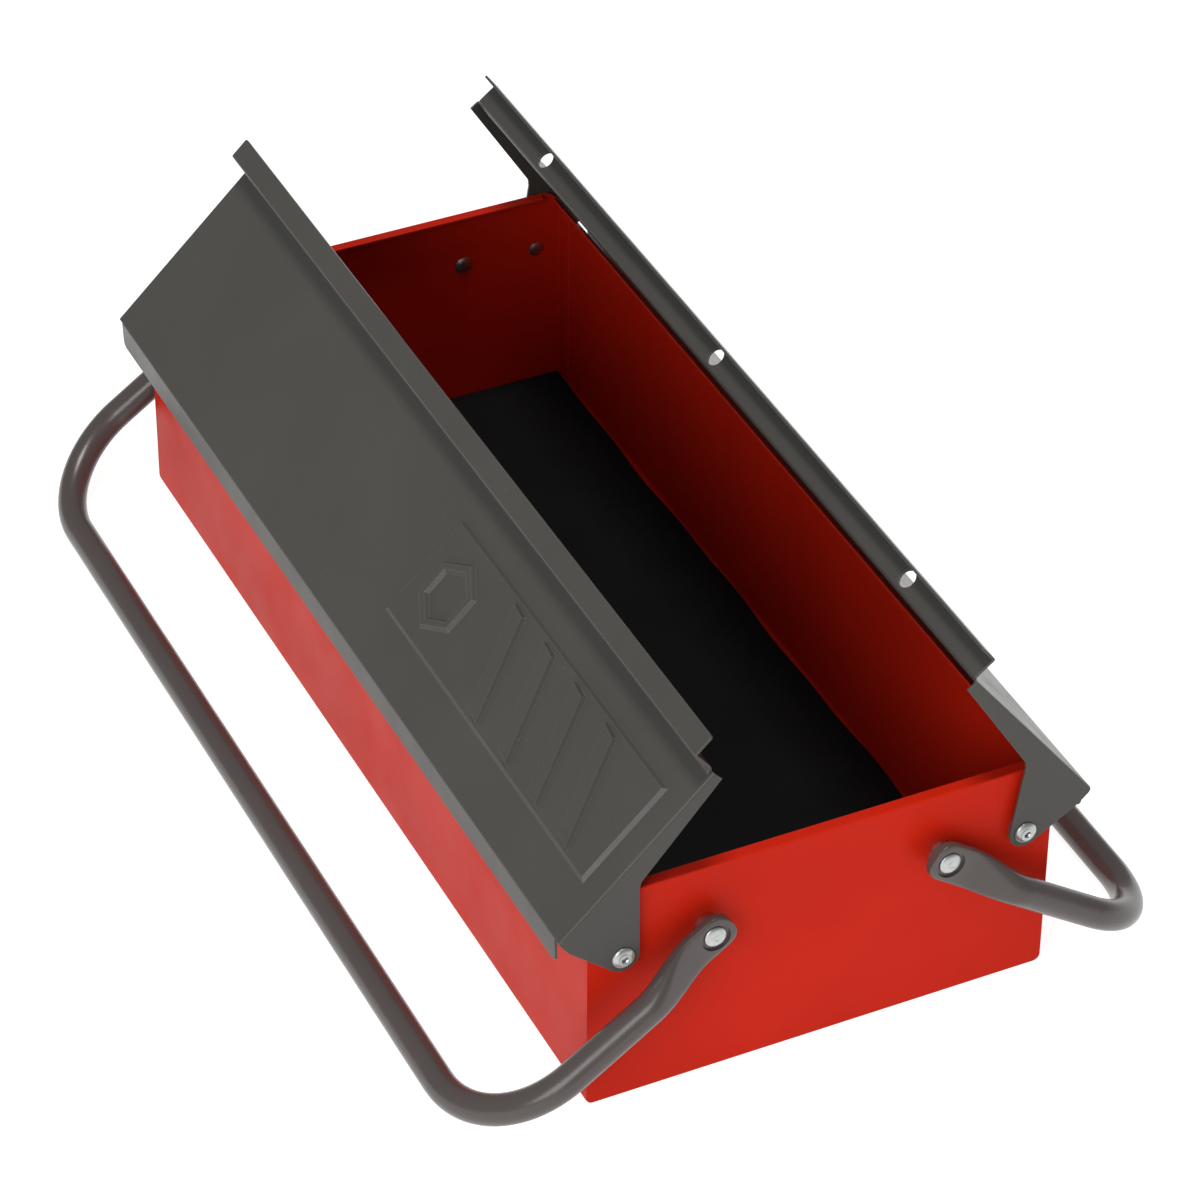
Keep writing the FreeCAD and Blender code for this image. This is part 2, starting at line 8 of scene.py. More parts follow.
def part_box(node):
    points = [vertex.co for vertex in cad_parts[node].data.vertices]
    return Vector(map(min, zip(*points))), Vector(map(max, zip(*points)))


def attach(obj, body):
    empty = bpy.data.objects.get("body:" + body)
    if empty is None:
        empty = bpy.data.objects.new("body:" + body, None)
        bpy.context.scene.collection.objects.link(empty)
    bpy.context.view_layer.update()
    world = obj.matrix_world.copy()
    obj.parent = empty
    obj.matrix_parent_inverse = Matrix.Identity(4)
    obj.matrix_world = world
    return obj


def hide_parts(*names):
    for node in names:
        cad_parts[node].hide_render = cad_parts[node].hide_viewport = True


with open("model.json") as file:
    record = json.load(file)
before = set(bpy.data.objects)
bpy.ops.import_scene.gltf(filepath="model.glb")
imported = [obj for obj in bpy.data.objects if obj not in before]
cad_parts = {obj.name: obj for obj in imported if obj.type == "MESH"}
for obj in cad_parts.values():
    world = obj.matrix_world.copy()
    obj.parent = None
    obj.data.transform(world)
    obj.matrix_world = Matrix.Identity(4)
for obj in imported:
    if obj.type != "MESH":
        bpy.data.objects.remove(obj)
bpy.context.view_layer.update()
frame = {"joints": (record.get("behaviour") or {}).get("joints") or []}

bl_info = {
    "name": "Tote Box Finish",
    "version": (1, 0, 0),
    "blender": (4, 5, 0),
    "location": "View3D > Sidebar > Tote Box",
    "description": "Builds the pressed-steel, tube, rivet and rubber pieces of a two-lid tote box",
    "category": "Object",
}

MM = 0.001
JOINTS = {joint["name"]: joint for joint in frame["joints"]}
SIDES = {"left": -1, "right": 1}
ENDS = {"near": 1, "far": -1}
FINISHES = {}


# ---------------------------------------------------------------- sizes and colours


def length(name, millimetres, description):
    """A length that a user can change, given here in millimetres."""
    return bpy.props.FloatProperty(
        name=name, description=description, default=millimetres * MM, min=0.0, unit="LENGTH",
        subtype="DISTANCE", precision=5)


def colour(name, hex_value, description):
    """A paint colour, given here as the hex value of its sRGB colour."""
    return bpy.props.StringProperty(name=name, description=description, default=hex_value)


class ToteSheet(bpy.types.PropertyGroup):
    """Sizes that the folded sheets share."""
    plate: length("Tub plate", 1.0, "Thickness of the tub's steel sheet")
    lid_plate: length("Lid plate", 1.1, "Thickness of the lids' steel sheet")
    fold: length("Fold radius", 1.5, "Outside radius of a pressed fold")
    trough_fold: length("Trough fold radius", 2.6, "Outside radius along the tub's bottom edges")
    burr: length("Edge rounding", 0.22, "How far a cut edge of sheet is broken")


class ToteTub(bpy.types.PropertyGroup):
    """Sizes of the tub."""
    edge_run: length("Top edge run", 5.0, "How far a long wall's top edge turns inward")
    corner_run: length("Corner run", 5.0, "Width of the cut corners of an end panel")
    corner_drop: length("Corner drop", 1.5, "How far the rim's ends drop")
    corner_flat: length("Corner flat", 10.4, "From the tub's side to where the rim starts to drop")
    rim_flange: length("Rim flange", 5.0, "Width of the rim turned in along an end panel")
    weld_flange: length("Weld flange", 11.0, "Width of the flanges welded to the long walls")
    mat_wave: length("Mat edge wave", 1.8, "How far the mat's cut edge wanders")


class ToteLid(bpy.types.PropertyGroup):
    """Sizes of a lid's section, from its outer corner in to its middle edge."""
    corner_out: length("Corner out", 8.2, "From the hinge line out to the lid's outer corner")
    rise: length("Rise", 30.7, "From the hinge line up to the shut lid's top face")
    left_panel: length("Left panel", 89.3, "Width of the left lid's flat panel")
    right_panel: length("Right panel", 91.5, "Width of the right lid's flat panel")
    lip_out: length("Lip out", 8.3, "How far the lip reaches outward")
    lip_down: length("Lip down", 9.2, "How far the lip drops")
    lip_corner: length("Lip corner", 3.0, "Rounding of the lip's free corners")
    lip_setback: length("Lip setback", 4.2, "From an ear's face to the lip's end")
    step_setback: length("Step setback", 2.0, "From an ear's face to the middle edge's end")
    left_rise: length("Left rise", 12.2, "Height of the left lid's middle edge")
    left_lean: length("Left lean", 1.1, "How far it leans over its rise")
    left_cap: length("Left cap", 10.3, "Width of the flat cap on it")
    left_valley: length("Left valley", 3.0, "Radius of the fold at its foot")
    right_rise: length("Right rise", 10.8, "Height of the right lid's middle edge")
    right_lean: length("Right lean", 0.0, "How far it leans over its rise")
    right_cap: length("Right cap", 9.2, "Width of the flat cap on it")
    right_valley: length("Right valley", 1.2, "Radius of the fold at its foot")
    cap_fold: length("Cap fold", 1.1, "Radius of the fold beside a cap")
    slit: length("Slit", 0.3, "Width of the relief slits at the folds' ends")
    lobe: length("Ear lobe radius", 7.0, "Radius of an ear round its rivet")
    tip_drop: length("Ear tip", 5.2, "Depth of an ear at the middle edge")
    knee_in: length("Ear knee in", 38.0, "From the outer corner in to an ear's knee")
    knee_drop: length("Ear knee drop", 10.4, "Depth of an ear at its knee")
    waist_in: length("Ear waist in", 35.2, "From the outer corner in to where its lobe starts")
    waist_drop: length("Ear waist drop", 12.2, "Depth of an ear there")
    shoulder_out: length("Ear shoulder out", 1.2, "How far an ear's shoulder passes the outer corner")
    shoulder_drop: length("Ear shoulder drop", 8.0, "Depth of an ear at its shoulder")
    side_out: length("Ear side out", 0.6, "How far an ear's side passes the outer corner")
    side_drop: length("Ear side drop", 2.0, "Depth of that place on its side")
    hole: length("Hole radius", 4.0, "Radius of the holes in the middle edges")
    hole_pitch: length("Hole pitch", 169.0, "Distance from one hole to the next")
    hole_rise: length("Hole height", 5.5, "Height of the holes over the lid's top face")


class ToteEmboss(bpy.types.PropertyGroup):
    """Sizes of the raised frame pressed into the left lid."""
    start: length("Start", 32.0, "Nearest edge of the frame from the lid's middle")
    finish: length("Finish", 221.0, "Furthest edge of the frame from the lid's middle")
    low: length("Low edge", 22.0, "Frame's outer edge, measured in from the lid's outer corner")
    high: length("High edge", 71.5, "Frame's inner edge, measured in from the lid's outer corner")
    slope: length("Slope", 2.2, "Width of the pressed slope")
    height: length("Height", 1.3, "Height of the pressed field")
    motif_height: length("Motif height", 1.6, "Height of the nut outline and the bars")
    motif_slope: length("Motif slope", 1.6, "Width of their slopes")
    nut: length("Nut size", 15.0, "Half the width across flats of the nut outline")
    nut_band: length("Nut band", 3.0, "Width of the nut outline's flat top")
    bar_gap: length("Bar gap", 2.4, "From a bar's slope to the strip's border")


class ToteHandle(bpy.types.PropertyGroup):
    """Sizes of a handle's tube."""
    tube: length("Tube radius", 6.5, "Radius of the round tube")
    bend: length("Bend radius", 45.0, "Radius of the corners at the tube's centre")
    eye: length("Eye radius", 8.6, "Half width of the flattened end")
    eye_inner: length("Eye inner face", 235.6, "From the box's middle to an eye's inner face")
    eye_thickness: length("Eye thickness", 4.4, "Thickness of the flattened end")
    flat_end: length("Flat end", 8.0, "Where the flattened end starts to open out")
    round_start: length("Round start", 38.0, "Where the tube is fully round")
    dish: length("Dish radius", 6.3, "Radius of the dish pressed round a rivet")
    dish_depth: length("Dish depth", 1.2, "Depth of that dish")


class ToteRivet(bpy.types.PropertyGroup):
    """Sizes of the rivets."""
    lid_shank: length("Lid rivet shank", 2.4, "Shank radius of a lid's rivet")
    lid_tail: length("Lid rivet tail", 3.6, "Radius of its flattened inner end")
    lid_head: length("Lid rivet head", 2.0, "Height of its head")
    lid_dimple: length("Lid rivet dimple", 2.3, "Radius of the hollow in its head")
    lid_depth: length("Lid rivet hollow", 1.2, "Depth of that hollow")
    handle_shank: length("Handle rivet shank", 3.0, "Shank radius of a handle's rivet")
    handle_tail: length("Handle rivet tail", 4.2, "Radius of its flattened inner end")
    handle_head: length("Handle rivet head", 1.5, "Height of its head")
    handle_dimple: length("Handle rivet dimple", 1.3, "Radius of the hollow in its head")
    handle_depth: length("Handle rivet hollow", 0.3, "Depth of that hollow")
    play: length("Play", 0.05, "Gap between a shank and its hole")


class TotePaint(bpy.types.PropertyGroup):
    """Colours of the finishes."""
    red: colour("Red enamel", "#C3220E", "Stoved enamel of the tub")
    grey: colour("Grey enamel", "#474643", "Stoved enamel of the lids")
    tube: colour("Tube enamel", "#4A4341", "Enamel of the handles")
    zinc: colour("Zinc", "#C8CBCA", "Zinc plating of rivets and rings")
    rubber: colour("Rubber", "#0C0C0C", "Floor mat")
    floor: colour("Studio floor", "#F4F4F3", "Paper sweep under the box")


GROUPS = {
    "tote_sheet": ToteSheet,
    "tote_tub": ToteTub,
    "tote_lid": ToteLid,
    "tote_emboss": ToteEmboss,
    "tote_handle": ToteHandle,
    "tote_rivet": ToteRivet,
    "tote_paint": TotePaint,
}


# ---------------------------------------------------------------- finishes


def linear(hex_value):
    """The linear colour, with alpha, of an sRGB hex value."""
    channels = [int(hex_value[place:place + 2], 16) / 255 for place in (1, 3, 5)]
    flat = [c / 12.92 if c <= 0.04045 else ((c + 0.055) / 1.055) ** 2.4 for c in channels]
    return (*flat, 1.0)


def per_metre(millimetres):
    """A texture scale whose pattern repeats about every so many millimetres."""
    return 1.0 / (millimetres * MM)


def add_node(tree, kind, settings=None, inputs=None):
    """Add a node. An input is a value for its socket, or another node's socket that feeds it."""
    made = tree.nodes.new(kind)
    for key, value in (settings or {}).items():
        setattr(made, key, value)
    for socket, value in (inputs or {}).items():
        if isinstance(value, bpy.types.NodeSocket):
            tree.links.new(value, made.inputs[socket])
        else:
            made.inputs[socket].default_value = value
    return made


def new_finish(name):
    """An empty material with its shader, and the Object coordinates that its patterns read."""
    material = bpy.data.materials.new(name)
    material.use_nodes = True
    tree = material.node_tree
    tree.nodes.clear()
    place = add_node(tree, "ShaderNodeTexCoord").outputs["Object"]
    shader = add_node(tree, "ShaderNodeBsdfPrincipled")
    add_node(tree, "ShaderNodeOutputMaterial", inputs={"Surface": shader.outputs["BSDF"]})
    return material, tree, place, shader


def shaded(rgba, factor):
    """The colour made darker or lighter by a factor."""
    return (*[channel * factor for channel in rgba[:3]], 1.0)


def enamel(name, hex_value, sheen, gloss, dust_and_highlight_colour):
    """Stoved enamel on steel: cloudy tone, orange peel, dust, and a painted highlight along the edges.

    sheen is its roughness, gloss its specular level, and the last colour that of its dust and of the
    painted highlight on its edges.
    """
    material, tree, place, shader = new_finish(name)
    base = linear(hex_value)
    cloud = add_node(tree, "ShaderNodeTexNoise", inputs={
        "Vector": place, "Scale": per_metre(70), "Detail": 3.0})
    body = add_node(tree, "ShaderNodeMix", {"data_type": "RGBA"}, {
        0: cloud.outputs["Fac"], 6: shaded(base, 0.88), 7: shaded(base, 1.12)})
    # dust and fine handling marks, a few millimetres long
    dust = add_node(tree, "ShaderNodeTexNoise", inputs={
        "Vector": place, "Scale": per_metre(1.6), "Detail": 4.0, "Roughness": 0.7})
    dusty = add_node(tree, "ShaderNodeMapRange", inputs={
        "Value": dust.outputs["Fac"], "From Min": 0.66, "From Max": 0.74, "To Max": 0.25})
    marked = add_node(tree, "ShaderNodeMix", {"data_type": "RGBA"}, {
        0: dusty.outputs["Result"], 6: body.outputs[2], 7: linear(dust_and_highlight_colour)})
    # painted highlight: a softened normal leans away from the face's own only within half a millimetre
    # of an edge, and there the colour is lightened as if the edge caught the light
    softened = add_node(tree, "ShaderNodeBevel", {"samples": 4}, {"Radius": 0.5 * MM})
    facing = add_node(tree, "ShaderNodeNewGeometry")
    agree = add_node(tree, "ShaderNodeVectorMath", {"operation": "DOT_PRODUCT"}, {
        0: softened.outputs["Normal"], 1: facing.outputs["Normal"]})
    highlight_mask = add_node(tree, "ShaderNodeMapRange", inputs={
        "Value": agree.outputs["Value"], "From Min": 0.985, "From Max": 0.90, "To Max": 0.28})
    # lighten the edges towards the highlight colour: a painted highlight
    highlit_colour = add_node(tree, "ShaderNodeMix", {"data_type": "RGBA"}, {
        0: highlight_mask.outputs["Result"], 6: marked.outputs[2], 7: linear(dust_and_highlight_colour)})
    rub = add_node(tree, "ShaderNodeTexNoise", inputs={
        "Vector": place, "Scale": per_metre(28), "Detail": 4.0, "Roughness": 0.6})
    sheens = add_node(tree, "ShaderNodeMapRange", inputs={
        "Value": rub.outputs["Fac"], "From Min": 0.3, "From Max": 0.7, "To Min": sheen - 0.05,
        "To Max": sheen + 0.07})
    # orange peel is about a millimetre across; drawn at 2.2 mm so that it shows
    peel = add_node(tree, "ShaderNodeTexNoise", inputs={
        "Vector": place, "Scale": per_metre(2.2), "Detail": 2.0})
    pitted = add_node(tree, "ShaderNodeBump", inputs={
        "Height": peel.outputs["Fac"], "Strength": 0.10, "Distance": 0.25 * MM})
    sway = add_node(tree, "ShaderNodeTexNoise", inputs={
        "Vector": place, "Scale": per_metre(55), "Detail": 1.0})
    uneven = add_node(tree, "ShaderNodeBump", inputs={
        "Height": sway.outputs["Fac"], "Strength": 0.12, "Distance": 2.0 * MM,
        "Normal": pitted.outputs["Normal"]})
    tree.links.new(highlit_colour.outputs[2], shader.inputs["Base Color"])
    tree.links.new(sheens.outputs["Result"], shader.inputs["Roughness"])
    tree.links.new(uneven.outputs["Normal"], shader.inputs["Normal"])
    shader.inputs["Specular IOR Level"].default_value = gloss
    return material


def zinc_plate(name, hex_value):
    """Zinc plating on a pressed steel head: metal, slightly mottled, with fine tool marks."""
    material, tree, place, shader = new_finish(name)
    base = linear(hex_value)
    mottle = add_node(tree, "ShaderNodeTexNoise", inputs={
        "Vector": place, "Scale": per_metre(2.5), "Detail": 3.0})
    tone = add_node(tree, "ShaderNodeMix", {"data_type": "RGBA"}, {
        0: mottle.outputs["Fac"], 6: shaded(base, 0.7), 7: base})
    marks = add_node(tree, "ShaderNodeTexNoise", inputs={
        "Vector": place, "Scale": per_metre(1.0), "Detail": 3.0})
    rub = add_node(tree, "ShaderNodeMapRange", inputs={
        "Value": marks.outputs["Fac"], "From Min": 0.3, "From Max": 0.7, "To Min": 0.28, "To Max": 0.46})
    scored = add_node(tree, "ShaderNodeBump", inputs={
        "Height": marks.outputs["Fac"], "Strength": 0.15, "Distance": 0.1 * MM})
    tree.links.new(tone.outputs[2], shader.inputs["Base Color"])
    tree.links.new(rub.outputs["Result"], shader.inputs["Roughness"])
    tree.links.new(scored.outputs["Normal"], shader.inputs["Normal"])
    shader.inputs["Metallic"].default_value = 1.0
    return material


def mat_rubber(name, hex_value):
    """Foamed rubber sheet: near black, matt, with a fine open grain and a little dust."""
    material, tree, place, shader = new_finish(name)
    base = linear(hex_value)
    dust = add_node(tree, "ShaderNodeTexNoise", inputs={
        "Vector": place, "Scale": per_metre(40), "Detail": 4.0})
    tone = add_node(tree, "ShaderNodeMix", {"data_type": "RGBA"}, {
        0: dust.outputs["Fac"], 6: shaded(base, 0.8), 7: shaded(base, 1.6)})
    grain = add_node(tree, "ShaderNodeTexVoronoi", inputs={"Vector": place, "Scale": per_metre(1.6)})
    open_grain = add_node(tree, "ShaderNodeBump", inputs={
        "Height": grain.outputs["Distance"], "Strength": 0.35, "Distance": 0.3 * MM})
    tree.links.new(tone.outputs[2], shader.inputs["Base Color"])
    tree.links.new(open_grain.outputs["Normal"], shader.inputs["Normal"])
    shader.inputs["Roughness"].default_value = 0.9
    shader.inputs["Specular IOR Level"].default_value = 0.15
    return material


def paper(name, hex_value):
    """Smooth white paper over a lit table: even, with a slight glow of its own."""
    material, tree, place, shader = new_finish(name)
    base = linear(hex_value)
    pulp = add_node(tree, "ShaderNodeTexNoise", inputs={"Vector": place, "Scale": per_metre(400)})
    tone = add_node(tree, "ShaderNodeMix", {"data_type": "RGBA"}, {
        0: pulp.outputs["Fac"], 6: shaded(base, 0.40), 7: shaded(base, 0.41)})
    tree.links.new(tone.outputs[2], shader.inputs["Base Color"])
    shader.inputs["Roughness"].default_value = 0.8
    shader.inputs["Emission Color"].default_value = base
    shader.inputs["Emission Strength"].default_value = 1.0
    return material


def finish(kind):
    """The named finish, made the first time it is asked for."""
    paint = bpy.context.scene.tote_paint
    if kind not in FINISHES:
        FINISHES[kind] = {
            # each enamel's last colour is that of its dust and of the painted highlight on its edges
            "red_enamel": lambda: enamel(
                "red_stoved_enamel", paint.red, sheen=0.36, gloss=0.05, dust_and_highlight_colour="#D8604A"),
            "grey_enamel": lambda: enamel(
                "grey_stoved_enamel", paint.grey, sheen=0.32, gloss=0.22, dust_and_highlight_colour="#8B8984"),
            "grey_tube": lambda: enamel(
                "tube_enamel", paint.tube, sheen=0.25, gloss=0.5, dust_and_highlight_colour="#8B8580"),
            "zinc": lambda: zinc_plate("dull_zinc_plate", paint.zinc),
            "mat_rubber": lambda: mat_rubber("foamed_rubber", paint.rubber),
            "paper": lambda: paper("white_paper", paint.floor),
        }[kind]()
    return FINISHES[kind]


# ---------------------------------------------------------------- making pieces


def to_object(name, bm):
    """A linked object at the origin that holds the mesh as it was modelled."""
    bmesh.ops.remove_doubles(bm, verts=bm.verts, dist=MM / 1000)
    mesh = bpy.data.meshes.new(name)
    bm.to_mesh(mesh)
    bm.free()
    made = bpy.data.objects.new(name, mesh)
    bpy.context.scene.collection.objects.link(made)
    return made


def settle(made):
    """Make the object's modifiers part of its mesh."""
    bpy.context.view_layer.update()
    graph = bpy.context.evaluated_depsgraph_get()
    final = bpy.data.meshes.new_from_object(made.evaluated_get(graph))
    made.modifiers.clear()
    made.data = final


def thicken(made, thickness):
    """Give a skin its sheet thickness, inward from its outer face."""
    solid = made.modifiers.new("sheet", "SOLIDIFY")
    solid.thickness = thickness
    solid.offset = -1.0
    solid.use_even_offset = True
    settle(made)


def drill(made, holes):
    """Cut round holes through the piece; each is a centre, a direction, a radius and a depth."""
    bm = bmesh.new()
    for centre, direction, radius, depth in holes:
        turn = Vector((0, 0, 1)).rotation_difference(Vector(direction)).to_matrix().to_4x4()
        bmesh.ops.create_cone(
            bm, cap_ends=True, segments=32, radius1=radius, radius2=radius, depth=depth,
            matrix=Matrix.Translation(centre) @ turn)
    cutter = to_object("cutter", bm)
    cut = made.modifiers.new("holes", "BOOLEAN")
    cut.operation = "DIFFERENCE"
    cut.solver = "EXACT"
    cut.object = cutter
    settle(made)
    bpy.data.objects.remove(cutter)
    bm = bmesh.new()
    bm.from_mesh(made.data)
    bmesh.ops.dissolve_degenerate(bm, edges=bm.edges, dist=0.01 * MM)
    bm.to_mesh(made.data)
    bm.free()


def complete(made, body, slot_name, stands_for, edge=None, smooth=40):
    """Break the edges, shade the surface, give the piece its finish, and hang it on its body."""
    made.data.materials.clear()
    made.data.materials.append(finish(slot_name))
    for face in made.data.polygons:
        face.use_smooth = True
    made.data.set_sharp_from_angle(angle=radians(smooth))
    if edge:
        bevel = made.modifiers.new("broken edges", "BEVEL")
        bevel.width = edge
        bevel.segments = 2
        bevel.limit_method = "ANGLE"
        bevel.angle_limit = radians(50)
        # the bevel leaves some slivers where small facets meet
        weld = made.modifiers.new("slivers closed", "WELD")
        weld.merge_threshold = 0.01 * MM
    weighted = made.modifiers.new("flat faces", "WEIGHTED_NORMAL")
    weighted.keep_sharp = True
    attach(made, body)
    if stands_for:
        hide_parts(stands_for)


def rounded_line(points, radii, steps=6):
    """An open line of 2-D points with each inner corner turned into an arc of the given radius."""
    spots = [Vector(point) for point in points]
    line = spots[:1]
    for before, corner, after, radius in zip(spots, spots[1:], spots[2:], radii):
        back = (before - corner).normalized()
        ahead = (after - corner).normalized()
        half = back.angle(ahead) / 2
        centre = corner + (back + ahead).normalized() * radius / sin(half)
        start = corner + back * radius / tan(half) - centre
        finish_at = corner + ahead * radius / tan(half) - centre
        line += [centre + start.slerp(finish_at, step / steps) * radius for step in range(steps + 1)]
    return line + spots[-1:]


def edges_where(bm, test):
    """The edges that pass a test."""
    return [edge for edge in bm.edges if test(edge)]


def is_fold(edge):
    """True for an edge with a face on each side."""
    return len(edge.link_faces) == 2


def verts_in(geometry):
    """The vertices among some geometry."""
    return [item for item in geometry if isinstance(item, bmesh.types.BMVert)]


def fold_over(bm, edges, radius, segments=5):
    """Turn sharp folds into pressed ones of the given outside radius."""
    bmesh.ops.bevel(
        bm, geom=edges, offset=radius, offset_type="OFFSET", segments=segments, profile=0.5,
        affect="EDGES", material=-1, clamp_overlap=True)


def round_corners(bm, verts, radius, segments=4):
    """Round the outline of a flat face at some of its corners."""
    bmesh.ops.bevel(
        bm, geom=verts, offset=radius, offset_type="OFFSET", segments=segments, profile=0.5,
        affect="VERTICES", material=-1, clamp_overlap=True)


def face_outward(bm, probe, outward):
    """Turn all faces so that the one nearest probe looks along outward."""
    bmesh.ops.recalc_face_normals(bm, faces=bm.faces)
    nearest = min(bm.faces, key=lambda face: (face.calc_center_median() - Vector(probe)).length)
    if nearest.normal.dot(Vector(outward)) < 0:
        bmesh.ops.reverse_faces(bm, faces=bm.faces)


# ---------------------------------------------------------------- the tub


class OBJECT_OT_tote_trough(bpy.types.Operator):
    """Fold the tub's floor and long walls from one sheet"""
    bl_idname = "object.tote_trough"
    bl_label = "Trough"

    def execute(self, context):
        sheet = context.scene.tote_sheet
        tub = context.scene.tote_tub
        low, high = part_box("tub_shell")
        bend_height = high.z - tub.edge_run
        inward = high.y - tub.edge_run
        section = [
            (-inward, high.z), (-high.y, bend_height), (-high.y, 0),
            (high.y, 0), (high.y, bend_height), (inward, high.z),
        ]
        bm = bmesh.new()
        ends = [bm.verts.new((low.x, y, z)) for y, z in section]
        strips = [bm.edges.new(pair) for pair in zip(ends, ends[1:])]
        grown = bmesh.ops.extrude_edge_only(bm, edges=strips)["geom"]
        bmesh.ops.translate(bm, verts=verts_in(grown), vec=(high.x - low.x, 0, 0))
        upper = edges_where(bm, lambda edge: is_fold(edge) and edge.verts[0].co.z > bend_height / 2)
        fold_over(bm, upper, sheet.fold)
        bottom = edges_where(bm, lambda edge: is_fold(edge) and edge.verts[0].co.z < MM)
        fold_over(bm, bottom, sheet.trough_fold, 6)
        face_outward(bm, (0, 0, 0), (0, 0, -1))
        made = to_object("trough", bm)
        thicken(made, sheet.plate)
        complete(made, "tub", "red_enamel", "tub_shell", sheet.burr)
        return {"FINISHED"}


class OBJECT_OT_tote_end_panels(bpy.types.Operator):
    """Press the two end panels with their turned-in rims and weld flanges"""
    bl_idname = "object.tote_end_panels"
    bl_label = "End panels"

    def execute(self, context):
        for end, sign in ENDS.items():
            self.press(context, end, sign)
        return {"FINISHED"}

    def press(self, context, end, sign):
        sheet = context.scene.tote_sheet
        tub = context.scene.tote_tub
        rivet = context.scene.tote_rivet
        node = "end_panel_" + end
        low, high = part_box(node)
        outer = high.x if sign > 0 else low.x
        half = high.y
        corner = half - tub.corner_run
        shoulder = half - tub.corner_flat
        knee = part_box("tub_shell")[1].z - tub.edge_run
        outline = [
            (outer, -half, 0), (outer, half, 0), (outer, half, knee),
            (outer, corner, high.z - tub.corner_drop), (outer, shoulder, high.z),
            (outer, -shoulder, high.z), (outer, -corner, high.z - tub.corner_drop),
            (outer, -half, knee),
        ]
        bm = bmesh.new()
        face = bm.faces.new([bm.verts.new(point) for point in outline])
        corners = [vert for vert in face.verts if vert.co.z < high.z - MM]
        round_corners(bm, corners, 3 * sheet.plate)
        top = edges_where(bm, lambda edge: all(vert.co.z > high.z - MM / 10 for vert in edge.verts))
        grown = bmesh.ops.extrude_edge_only(bm, edges=top)["geom"]
        lip = verts_in(grown)
        bmesh.ops.translate(bm, verts=lip, vec=(-sign * tub.rim_flange, 0, 0))
        for vert in lip:
            vert.co.y *= (shoulder - tub.rim_flange / 4) / shoulder
        fold_over(bm, edges_where(bm, is_fold), sheet.fold)
        face_outward(bm, (outer, 0, half / 2), (sign, 0, 0))
        made = to_object("end_panel_plate_" + end, bm)
        thicken(made, sheet.plate)
        holes = []
        through = 20 * MM
        for side in SIDES:
            for joint in ("lid_%s_hinge" % side, "handle_%s_hinge" % side):
                spot = Vector(JOINTS[joint]["pos_m"])
                shank = rivet.lid_shank if joint.startswith("lid") else rivet.handle_shank
                holes.append(((outer, spot.y, spot.z), (1, 0, 0), shank + rivet.play, through))
        drill(made, holes)
        self.weld_flanges(made, sign, outer, half, sheet, tub)
        complete(made, "tub", "red_enamel", node, sheet.burr)

    def weld_flanges(self, made, sign, outer, half, sheet, tub):
        """The folded strips inside the long walls, added to the plate's mesh."""
        bm = bmesh.new()
        bm.from_mesh(made.data)
        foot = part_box("floor_mat")[1].z + MM
        below_fold = 3 * MM
        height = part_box("tub_shell")[1].z - tub.edge_run - foot - below_fold
        for side in SIDES.values():
            centre = Vector((
                outer - sign * (tub.weld_flange / 2 + sheet.plate / 2),
                side * (half - 1.5 * sheet.plate),
                foot + height / 2))
            # a little thinner than the sheet, so that it doesn't share the wall's face
            size = Matrix.Diagonal((tub.weld_flange, sheet.plate * 0.98, height, 1))
            bmesh.ops.create_cube(bm, size=1, matrix=Matrix.Translation(centre) @ size)
        bm.to_mesh(made.data)
        bm.free()


class OBJECT_OT_tote_mat(bpy.types.Operator):
    """Cut the loose floor mat, its long edges a little wavy"""
    bl_idname = "object.tote_mat"
    bl_label = "Floor mat"

    def execute(self, context):
        wave = context.scene.tote_tub.mat_wave
        low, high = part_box("floor_mat")
        size = high - low
        bm = bmesh.new()
        bmesh.ops.create_grid(
            bm, x_segments=110, y_segments=48, size=0.5,
            matrix=Matrix.Translation((0, 0, high.z)) @ Matrix.Diagonal((size.x, size.y, 1, 1)))
        margin = 14 * MM
        hollow = 0.35 * MM
        edge = 0.4 * MM
        for vert in bm.verts:
            x, y = vert.co.x, vert.co.y
            to_side = max(0.0, 1 - (high.y - abs(y)) / margin)
            drift = 0.5 + 0.28 * sin(x * 41 + y * 9) + 0.22 * sin(x * 97 + 1.3 + y * 5)
            vert.co.y -= wave * drift * to_side * (1 if y > 0 else -1)
            vert.co.z -= hollow * (0.5 + 0.5 * sin(x * 33 + 2) * cos(y * 47))
        face_outward(bm, (0, 0, high.z), (0, 0, 1))
        made = to_object("rubber_mat", bm)
        thicken(made, size.z - edge)
        complete(made, "tub", "mat_rubber", "floor_mat", edge)
        return {"FINISHED"}


# ---------------------------------------------------------------- the lids


def shut_lid_place(sign, hinge, lid):
    """Where (x, u, w) is on a shut lid: u in from its outer corner, w up from its top face."""
    def place(x, u, w):
        return Vector((x, sign * (abs(hinge.y) + lid.corner_out - u), hinge.z + lid.rise + w))
    return place


def tangent_angle(centre, radius, outside, turn):
    """The angle at which a line from the outside point touches a circle, on the side turn, 1 or -1."""
    away = outside - centre
    return atan2(away.y, away.x) + turn * acos(radius / away.length)


def ear_outline(lid, panel):
    """The lower outline of an ear in (u, w), from the middle edge's end round the lobe to the lip."""
    pivot = Vector((lid.corner_out, -lid.rise))
    waist = Vector((lid.waist_in, -lid.waist_drop))
    shoulder = Vector((-lid.shoulder_out, -lid.shoulder_drop))
    start = tangent_angle(pivot, lid.lobe, waist, -1)
    sweep = tangent_angle(pivot, lid.lobe, shoulder, 1) - 2 * pi - start
    steps = 14
    lobe = []
    for step in range(steps + 1):
        angle = start + sweep * step / steps
        lobe.append(pivot + lid.lobe * Vector((cos(angle), sin(angle))))
    arm = [Vector((panel, -lid.tip_drop)), Vector((lid.knee_in, -lid.knee_drop)), waist]
    return arm + lobe + [shoulder, Vector((-lid.side_out, -lid.side_drop))]


